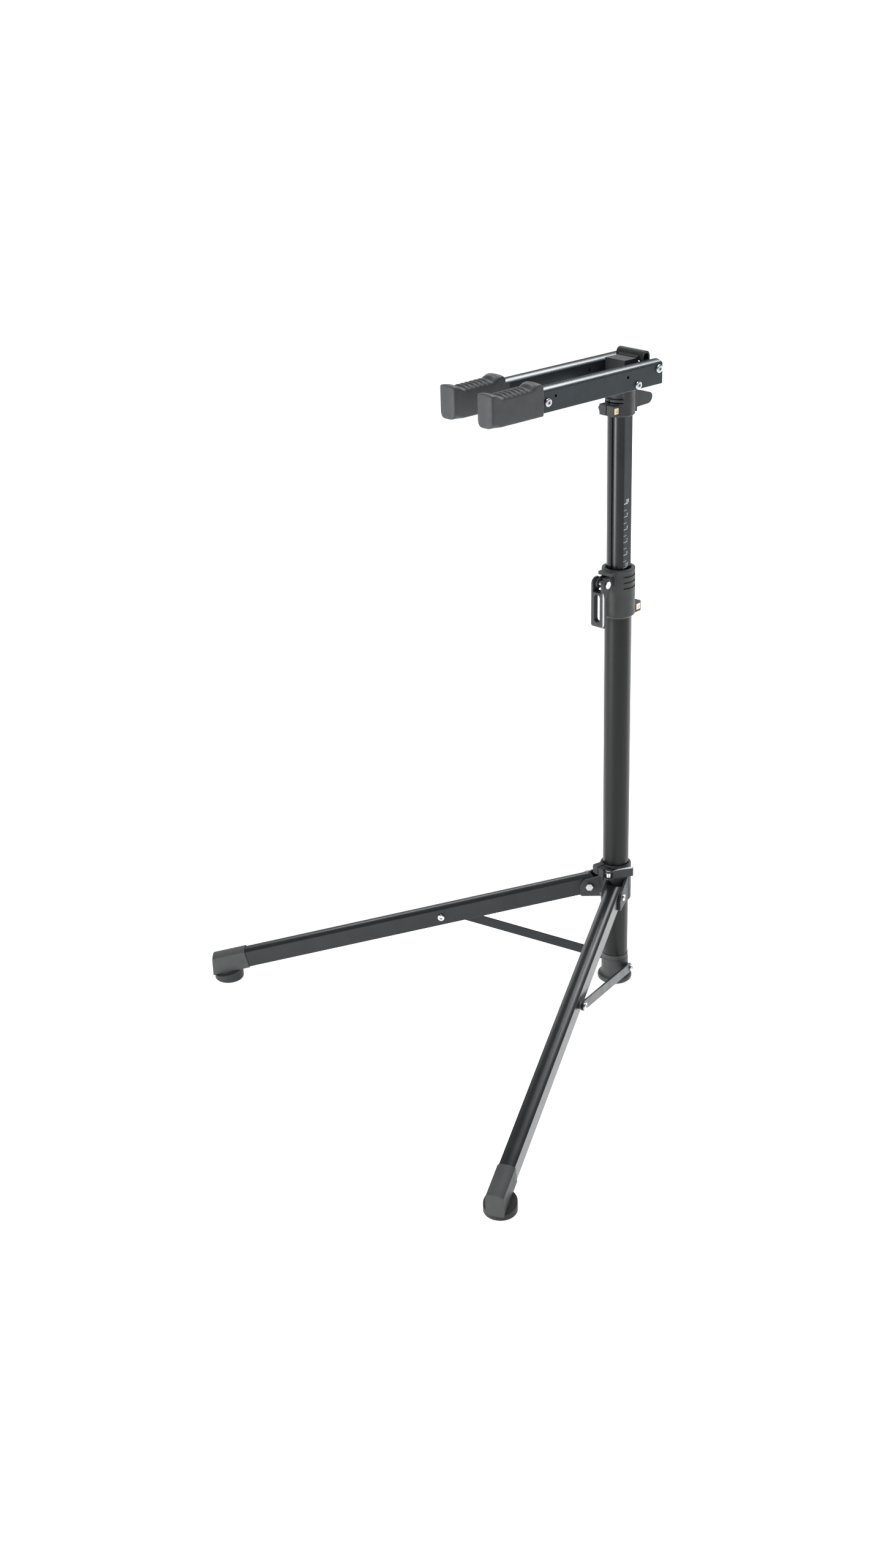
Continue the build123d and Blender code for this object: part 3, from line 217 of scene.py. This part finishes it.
MAST_MAT = anodised(
    "mast_anodised", (0.005, 0.0055, 0.0055), ALONG_Z, rough=0.36, metallic=0.0, specular=0.28
)
UPPER_MAT = anodised(
    "upper_anodised", (0.018, 0.02, 0.022), ALONG_Z, rough=0.22, metallic=0.35, specular=0.25
)
ARM_MAT = anodised("arm_anodised", (0.034, 0.042, 0.047), ALONG_Y, rough=0.24, metallic=0.4)
LEG_MAT = anodised(
    "leg_anodised", (0.024, 0.026, 0.027), COARSE, rough=0.26, metallic=0.4, streaks=0.02
)
BRACE_MAT = anodised(
    "brace_anodised", (0.026, 0.028, 0.031), MEDIUM, rough=0.38, metallic=0.3, specular=0.24
)
CAST_MAT = grained(
    "cast_coated", (0.035, 0.037, 0.039), rough=0.52, grain=0.16, fineness=2200.0, edge=0.0011
)
PLASTIC_MAT = grained(
    "moulded_plastic", (0.051, 0.053, 0.053), rough=0.52, grain=0.18, fineness=1800.0
)
GRIP_MAT = grained(
    "grip_rubber_skin", (0.055, 0.058, 0.062), rough=0.55, grain=0.22, fineness=2400.0
)
PAD_MAT = grained(
    "pad_rubber_skin", (0.026, 0.027, 0.028),
    rough=0.6, grain=0.25, fineness=1500.0, specular=0.25,
)
BEARING_MAT = grained(
    "bearing_plastic_skin", (0.1, 0.1, 0.105),
    rough=0.45, grain=0.12, fineness=1500.0, specular=0.4,
)
STEEL_MAT = plated("plated_steel", (0.56, 0.57, 0.58), rough=0.24)
BRASS_MAT = plated("machined_brass", (0.83, 0.66, 0.36), rough=0.3)
# polished bare-metal edges, near-white and nearly matte: their colour is partly the metal's own
# pale tone and partly painted sheen
EDGE_SHEEN_MAT = plated("polished_edge_painted_sheen", (0.9, 0.91, 0.92), rough=0.4, metallic=0.15)
INK_MAT = printed_ink()
FLOOR_MAT = paper_floor()

BY_SLOT = {
    "anodised_dark": MAST_MAT,
    "anodised_brace": BRACE_MAT,
    "cast_dark": CAST_MAT,
    "dark_plastic": PLASTIC_MAT,
    "grip_rubber": GRIP_MAT,
    "pad_rubber": PAD_MAT,
    "bolt_steel": STEEL_MAT,
    "nut_brass": BRASS_MAT,
    "bearing_plastic": BEARING_MAT,
}
BY_NODE = {
    "upper_tube": UPPER_MAT,
    "arm_right": ARM_MAT,
    "arm_left": ARM_MAT,
    "leg_tube_right": LEG_MAT,
    "leg_tube_left": LEG_MAT,
}

for part in frame["record"]["subparts"]:
    node = frame["nodes"][part["node"]]
    material = BY_NODE.get(part["node"], BY_SLOT[part["material_slot"]])
    for slot in node.material_slots:
        slot.material = material

# === grips: moulded sleeves with a flanged nose, ribbed saddle and palm swell ====================

# heights of the sleeve's crown and of its shoulders against y, from the nose to the tail
GRIP_CROWN = [
    (-361.5, 1244.6), (-356.0, 1245.8), (-348.0, 1244.2), (-337.0, 1238.4), (-327.0, 1238.6),
    (-274.0, 1239.6), (-264.0, 1244.8), (-256.0, 1245.6), (-249.0, 1244.6), (-244.0, 1241.5),
]
GRIP_SHOULDER = [
    (-361.5, 1240.0), (-352.0, 1240.6), (-344.0, 1236.6), (-332.0, 1231.6), (-279.0, 1231.4),
    (-267.0, 1233.4), (-257.0, 1240.6), (-251.0, 1242.6), (-244.0, 1238.5),
]
CROWN_POWER = 2.3  # a little squarer than an ellipse
SHOULDER_GAP = 1.4  # from the top of the side wall to the shoulder

GRIP_X, GRIP_HALF = 45.3, 18.0
GRIP_LOW, GRIP_MIDDLE = 1189.6, 1217.0
GRIP_STATION = 0.55  # distance between sections, close enough to round the ribs
BOTTOM_STEP = 0.15  # distance between the bottom's points, as a share of half its width
CORNER_STEPS, WALL_STEPS, CROWN_STEPS = 5, 5, 16

# radius of the two bottom corners, and how much the flange adds to it towards the nose
CORNER, FLANGE_CORNER = 3.2, 6.6
FLANGE_START, FLANGE_LENGTH = -338.0, 15.0

# tail: its end face, the section and the inset of the opening in it, and the edge's rounding
GRIP_TAIL, TAIL_SECTION, TAIL_INSET = -244.0, -246.0, 3.9
TAIL_ROUND, TAIL_STEPS = 1.6, 4
# nose: where the plain sections end, the section and the place of its end face, and its shape
GRIP_END, NOSE_SECTION, GRIP_NOSE = -352.0, -354.0, -358.0
NOSE_BULGE, NOSE_ROUND, NOSE_STEPS = 3.3, 2.0, 7

RIB_FIRST, RIB_PITCH, RIB_COUNT = -327.5, 9.7, 6
RIB_HALF, RIB_TALL, RIB_POWER = 4.3, 2.5, 1.1
RIB_FADE = 5  # the ribs fade out with this power of the distance from the sleeve's middle


def blend_curve(points, value):
    """Smooth interpolation through (position, height) pairs."""
    if value <= points[0][0]:
        return points[0][1]
    for (a, fa), (b, fb) in zip(points, points[1:]):
        if value <= b:
            t = (value - a) / (b - a)
            t = t * t * (3 - 2 * t)
            return fa + (fb - fa) * t
    return points[-1][1]


def rib_height(y):
    """What the ribs add to the crown at a station."""
    total = 0.0
    for k in range(RIB_COUNT):
        d = abs(y - (RIB_FIRST + RIB_PITCH * k)) / RIB_HALF
        if d < 1:
            total += RIB_TALL * (1 - d * d) ** RIB_POWER
    return total


def grip_section(y, inset=0.0):
    """Closed outline (x, z) at a station, from the bottom's middle up the right side and back."""
    crown = blend_curve(GRIP_CROWN, y) - inset
    shoulder = blend_curve(GRIP_SHOULDER, y) - inset
    half, low, rib = GRIP_HALF - inset, GRIP_LOW + inset, rib_height(y)
    flange = min(1.0, max(0.0, (FLANGE_START - y) / FLANGE_LENGTH))
    corner = CORNER + FLANGE_CORNER * flange

    outline = [(half * BOTTOM_STEP * k, low) for k in range(3)]
    for k in range(CORNER_STEPS + 1):
        angle = math.pi / 2 * k / CORNER_STEPS
        x = half - corner + corner * math.sin(angle)
        outline.append((x, low + corner - corner * math.cos(angle)))
    wall_low = low + corner
    wall_tall = shoulder - SHOULDER_GAP - wall_low
    outline += [(half, wall_low + wall_tall * k / WALL_STEPS) for k in range(1, WALL_STEPS + 1)]
    for k in range(1, CROWN_STEPS + 1):
        angle = math.pi / 2 * k / CROWN_STEPS
        x = half * math.cos(angle) ** (2 / CROWN_POWER) if k < CROWN_STEPS else 0.0
        z = shoulder + (crown - shoulder) * math.sin(angle) ** (2 / CROWN_POWER)
        outline.append((x, z + rib * max(0.0, 1 - (x / half) ** RIB_FADE)))
    return outline + [(-x, z) for x, z in reversed(outline[1:-1])]


def nose_y(x):
    """The crowned end face, furthest out in its middle."""
    return GRIP_NOSE - NOSE_BULGE * (1 - (x / GRIP_HALF) ** 2)


def make_grip(name, centre_x, node, body):
    bm = bmesh.new()
    rings = []

    def flat_ring(outline, y):
        rings.append([add_vertex(bm, (centre_x + x, y, z)) for x, z in outline])

    def nose_ring(outline, behind=0.0):
        rings.append([add_vertex(bm, (centre_x + x, nose_y(x) + behind, z)) for x, z in outline])

    # tail: the end face round its opening, then the rounded edge
    flat_ring(grip_section(TAIL_SECTION, TAIL_INSET), GRIP_TAIL)
    for k in range(TAIL_STEPS + 1):
        angle = math.pi / 2 * k / TAIL_STEPS
        outline = grip_section(GRIP_TAIL, TAIL_ROUND * (1 - math.sin(angle)))
        flat_ring(outline, GRIP_TAIL - TAIL_ROUND * (1 - math.cos(angle)))
    y = GRIP_TAIL - TAIL_ROUND
    while y > GRIP_END:
        y -= GRIP_STATION
        flat_ring(grip_section(y), y)
    # nose: a rounded edge, then the crowned end face
    for k in range(1, NOSE_STEPS + 1):
        angle = math.pi / 2 * k / NOSE_STEPS
        outline = grip_section(NOSE_SECTION, NOSE_ROUND * (1 - math.cos(angle)))
        nose_ring(outline, NOSE_ROUND * (1 - math.sin(angle)))
    outline = grip_section(NOSE_SECTION, NOSE_ROUND)
    for scale in (0.8, 0.6, 0.4, 0.2):
        nose_ring([(x * scale, GRIP_MIDDLE + (z - GRIP_MIDDLE) * scale) for x, z in outline])

    bridge(bm, rings)
    bm.faces.new(rings[-1])
    bmesh.ops.recalc_face_normals(bm, faces=bm.faces)
    for face in bm.faces:
        face.smooth = True
    obj = add_object(name, bm, GRIP_MAT)
    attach(obj, body)
    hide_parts(node)
    frame["nodes"][node].hide_render = True


make_grip("grip_sleeve_right", GRIP_X, "grip_right", "arms")
make_grip("grip_sleeve_left", -GRIP_X, "grip_left", "arms")

# === printed height scale: marks and numbers on the upper tube's right-hand flat =================

COLLAR_YAW = math.radians(6.0)  # the upper tube and the middle collar are turned by this
FLAT_X, FLAT_FRONT = 19.3, -10.6
PRINT_PROUD = 0.06

LABELS = ("15", "6", "7", "8", "9", "20")
SCALE_LOW, SCALE_STEP = 862.9, 23.62
MARK_LONG, HALF_MARK_LONG, HALF_MARK_THICK = 10.6, 8.4, 0.6
DIGIT_LIFT, DIGIT_PITCH = 2.0, 3.9
PEN_REACH = 0.8  # how far a stroke runs past its ends, as a share of half its width

# mark's thickness, size of a grid unit, half a stroke's width, and first digit's place
PLAIN_LABEL = {"thick": 0.8, "wide": 0.95, "tall": 0.95, "pen": 0.36, "start": 8.8}
HEAVY_LABEL = {"thick": 1.2, "wide": 1.25, "tall": 1.3, "pen": 0.5, "start": 6.4}

# each digit's strokes, as lines on a grid 2 wide and 4 tall
DIGITS = {
    "0": [[(0, 0), (2, 0), (2, 4), (0, 4), (0, 0)]],
    "1": [[(1, 0), (1, 4)], [(0.2, 3.2), (1, 4)], [(0.3, 0), (1.7, 0)]],
    "2": [[(0, 3.3), (0.5, 4), (1.6, 4), (2, 3), (0, 0), (2, 0)]],
    "5": [[(2, 4), (0.2, 4), (0.1, 2.2), (1.4, 2.5), (2, 1.6), (1.6, 0.2), (0, 0.2)]],
    "6": [[(1.9, 3.8), (0.5, 3.4), (0, 1.4), (0.5, 0), (1.6, 0), (2, 1.2), (1.4, 2.2), (0.1, 1.9)]],
    "7": [[(0, 4), (2, 4), (0.7, 0)]],
    "8": [
        [(0.3, 0), (1.7, 0), (1.7, 2.1), (1.6, 4), (0.4, 4), (0.3, 2.1), (0.3, 0)],
        [(0.3, 2.1), (1.7, 2.1)],
    ],
    "9": [[(0.1, 0.2), (1.5, 0.6), (2, 2.6), (1.5, 4), (0.4, 4), (0, 2.8), (0.6, 1.8), (1.9, 2.1)]],
}


def turned(yaw, x, y, z):
    """Point turned about the mast's axis."""
    return (x * math.cos(yaw) - y * math.sin(yaw), x * math.sin(yaw) + y * math.cos(yaw), z)


def plate(bm, corners):
    """Thin printed patch on the flat: its top face and the four sides down to the tube."""
    top, low = [
        [add_vertex(bm, turned(COLLAR_YAW, FLAT_X + proud, y, z)) for y, z in corners]
        for proud in (PRINT_PROUD, 0.0)
    ]
    bm.faces.new(top)
    bridge(bm, [low, top])


def mark(bm, z, length, thick):
    back_y = FLAT_FRONT + length
    low, high = z - thick / 2, z + thick / 2
    plate(bm, [(FLAT_FRONT, low), (back_y, low), (back_y, high), (FLAT_FRONT, high)])


def stroke(bm, start, end, half):
    """Straight pen stroke from one point of a digit to another."""
    start, end = Vector(start), Vector(end)
    along = (end - start).normalized()
    across = Vector((-along.y, along.x)) * half
    tip = along * half * PEN_REACH
    start, end = start - tip, end + tip
    plate(bm, [tuple(p) for p in (start + across, start - across, end - across, end + across)])


def make_scale():
    bm = bmesh.new()
    for k, label in enumerate(LABELS):
        z = SCALE_LOW + SCALE_STEP * k
        style = HEAVY_LABEL if len(label) == 2 else PLAIN_LABEL
        mark(bm, z, MARK_LONG, style["thick"])
        if k < len(LABELS) - 1:
            mark(bm, z + SCALE_STEP / 2, HALF_MARK_LONG, HALF_MARK_THICK)
        for place, digit in enumerate(label):
            left, base = FLAT_FRONT + (style["start"] + place * DIGIT_PITCH), z + DIGIT_LIFT
            for line in DIGITS[digit]:
                points = [(left + a * style["wide"], base + b * style["tall"]) for a, b in line]
                for start, end in zip(points, points[1:]):
                    stroke(bm, start, end, style["pen"])
    bmesh.ops.recalc_face_normals(bm, faces=bm.faces)
    obj = add_object("height_scale", bm, INK_MAT)
    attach(obj, "upper")


make_scale()

# === polished edges of the two quick-release levers, their near-white partly painted sheen =======

# middle lever: its right side and front, and the bevel's rows of points from low to high
LEVER_SIDE, LEVER_FRONT = 13.4, -62.0
BEVEL_LOW, BEVEL_HIGH, BEVEL_STEP, BEVEL_ROWS = 762.8, 828.0, 4.0, 17

# hub lever: its blade's two curves seen from above, and its underside and top
HUB_YAW = math.radians(-6.9)
BLADE_OUTER = ((27.4, -41.5), (32.6, -17.5), (43.0, 8.9))
BLADE_INNER = ((22.6, -38.0), (28.4, -12.0), (37.0, 13.6))
BLADE_UNDER, BLADE_TOP = 241.6, 258.4
# a face's rows of points, how far it stands out, and the share of the blade left bare outside it
FACE_STEPS, FACE_START, FACE_TAPER = 40, 8, 10
FACE_PROUD, FACE_MARGIN = 0.1, 0.04


def ribbon(name, body, rows):
    """Closed strip through rows of four points each."""
    bm = bmesh.new()
    rings = [[add_vertex(bm, point) for point in row] for row in rows]
    bridge(bm, rings)
    bm.faces.new(rings[0])
    bm.faces.new(list(reversed(rings[-1])))
    bmesh.ops.recalc_face_normals(bm, faces=bm.faces)
    obj = add_object(name, bm, EDGE_SHEEN_MAT)
    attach(obj, body)


def lever_edge():
    """Bright bevel down the middle lever's front corner, narrower towards both ends: polished
    metal, with painted sheen in its near-white tone.
    """
    rows = []
    for z in [BEVEL_LOW + BEVEL_STEP * k for k in range(BEVEL_ROWS)]:
        taper = min(1.0, 0.5 + (z - BEVEL_LOW) / 10, 0.3 + (BEVEL_HIGH - z) / 16)
        # round the corner: the side face's back and front, the front face, and inside the lever
        outline = [(0.15, 4.0 * taper), (0.15, 0.5), (-0.6, -0.12), (-0.8, 3.6 * taper)]
        rows.append([turned(COLLAR_YAW, LEVER_SIDE + x, LEVER_FRONT + y, z) for x, y in outline])
    ribbon("lever_edge_right", "mid_lever", rows)


def arc_points(a, b, c, steps):
    """Points on the circle through a, b and c, from a to c."""
    ax, ay, bx, by, cx, cy = *a, *b, *c
    d = 2 * (ax * (by - cy) + bx * (cy - ay) + cx * (ay - by))
    a2, b2, c2 = ax * ax + ay * ay, bx * bx + by * by, cx * cx + cy * cy
    ox = (a2 * (by - cy) + b2 * (cy - ay) + c2 * (ay - by)) / d
    oy = (a2 * (cx - bx) + b2 * (ax - cx) + c2 * (bx - ax)) / d
    radius = math.hypot(ax - ox, ay - oy)
    start, end = math.atan2(ay - oy, ax - ox), math.atan2(cy - oy, cx - ox)
    sweep = math.remainder(end - start, math.tau)
    angles = [start + sweep * k / steps for k in range(steps + 1)]
    return [(ox + radius * math.cos(t), oy + radius * math.sin(t)) for t in angles]


def hub_lever_face(name, z, cover):
    """Polished face along the hub lever's outer curve, covering a share of the blade's width; its
    near-white tone is partly painted sheen.
    """
    outer = arc_points(*BLADE_OUTER, FACE_STEPS)
    inner = arc_points(*BLADE_INNER, FACE_STEPS)
    low, high = z - FACE_PROUD, z + FACE_PROUD
    rows = []
    for k in range(FACE_START, FACE_STEPS):
        (px, py), (qx, qy) = outer[k], inner[k]
        reach = cover * min(1.0, (k - FACE_START + 1) / FACE_TAPER)
        near = (px + (qx - px) * FACE_MARGIN, py + (qy - py) * FACE_MARGIN)
        far = (px + (qx - px) * reach, py + (qy - py) * reach)
        corners = [(*near, low), (*near, high), (*far, high), (*far, low)]
        rows.append([turned(HUB_YAW, *corner) for corner in corners])
    ribbon(name, "hub_lever", rows)


lever_edge()
hub_lever_face("hub_lever_top_face", BLADE_TOP, 0.85)
hub_lever_face("hub_lever_under_edge", BLADE_UNDER, 0.3)

# === camera ======================================================================================

# its direction from the stand and its roll, its distance from the point that it looks at, and
# how far that point is beside the mast's axis and above the floor
AZ, EL, ROLL = math.radians(49.778979), math.radians(25.161847), math.radians(-1.990996)
DISTANCE, SIDE, HEIGHT = 3.572029, -0.338746, 0.437579
FOCAL_PX, LONG_SIDE, SENSOR = 3064.96, 2560, 36.0

right = Vector((math.cos(AZ), math.sin(AZ), 0))
back = Vector((math.sin(AZ) * math.cos(EL), -math.cos(AZ) * math.cos(EL), math.sin(EL)))
up = back.cross(right)
rolled_right = right * math.cos(ROLL) + up * math.sin(ROLL)
rolled_up = up * math.cos(ROLL) - right * math.sin(ROLL)

cam_data = bpy.data.cameras.new("camera")
cam_data.sensor_width = SENSOR
cam_data.lens = FOCAL_PX * SENSOR / LONG_SIDE
cam_data.clip_start = 0.05
cam_data.clip_end = 60.0
camera = bpy.data.objects.new("camera", cam_data)
bpy.context.scene.collection.objects.link(camera)
place = Vector((0, 0, HEIGHT)) + right * SIDE + back * DISTANCE
turn = Matrix((rolled_right, rolled_up, back)).transposed().to_4x4()
camera.matrix_world = Matrix.Translation(place) @ turn
bpy.context.scene.camera = camera

# === studio: dim sky, five soft boxes and a paper floor ==========================================

MIDDLE = (0, 0, 0.6)
FLOOR_RADIUS, FLOOR_RINGS, FLOOR_STEPS = 120.0, 6, 96
FLOOR_Z = -0.0004  # just clear of the stand's feet

world = bpy.data.worlds.new("studio")
bpy.context.scene.world = world
world.use_nodes = True
world.node_tree.nodes["Background"].inputs["Color"].default_value = (0.9, 0.95, 1.0, 1.0)
world.node_tree.nodes["Background"].inputs["Strength"].default_value = 0.22


def around(azimuth, distance, height):
    """Point beside the stand, its azimuth counted from -Y towards +X."""
    a = math.radians(azimuth)
    return Vector((math.sin(a) * distance, -math.cos(a) * distance, height))


def soft_box(name, location, target, wide, tall, watts):
    """Rectangular lamp aimed at a point."""
    data = bpy.data.lights.new(name, "AREA")
    data.shape = "RECTANGLE"
    data.size = wide
    data.size_y = tall
    data.energy = watts
    lamp = bpy.data.objects.new(name, data)
    lamp.visible_camera = False
    bpy.context.scene.collection.objects.link(lamp)
    lamp.location = location
    direction = Vector(target) - Vector(location)
    lamp.rotation_euler = direction.to_track_quat("-Z", "Y").to_euler()


def floor():
    """Disc of paper round the stand."""
    bm = bmesh.new()
    angles = [2 * math.pi * i / FLOOR_STEPS for i in range(FLOOR_STEPS)]
    radii = [FLOOR_RADIUS * k / FLOOR_RINGS for k in range(FLOOR_RINGS, 0, -1)]
    rings = [
        [bm.verts.new((radius * math.cos(t), radius * math.sin(t), 0)) for t in angles]
        for radius in radii
    ]
    bridge(bm, rings)
    bm.faces.new(rings[-1])
    obj = add_object("floor", bm, FLOOR_MAT)
    obj.location.z = FLOOR_Z
    return obj


soft_box("box_left", around(-10.0, 2.7, 0.7), MIDDLE, wide=0.45, tall=1.4, watts=46.0)
soft_box("box_right", around(163.0, 2.7, 0.9), MIDDLE, wide=0.9, tall=1.8, watts=21.0)
soft_box("box_behind", around(206.0, 2.3, 3.9), (0, 0, 0.9), wide=1.7, tall=1.0, watts=108.0)
soft_box("box_horizon", around(250.0, 3.2, 2.0), (0, 0, 0.3), wide=1.6, tall=0.8, watts=22.0)
soft_box("box_top", (0.3, -0.4, 3.8), (0, 0, 0), wide=1.6, tall=0.25, watts=40.0)
floor()

bpy.context.scene.view_settings.view_transform = "Standard"
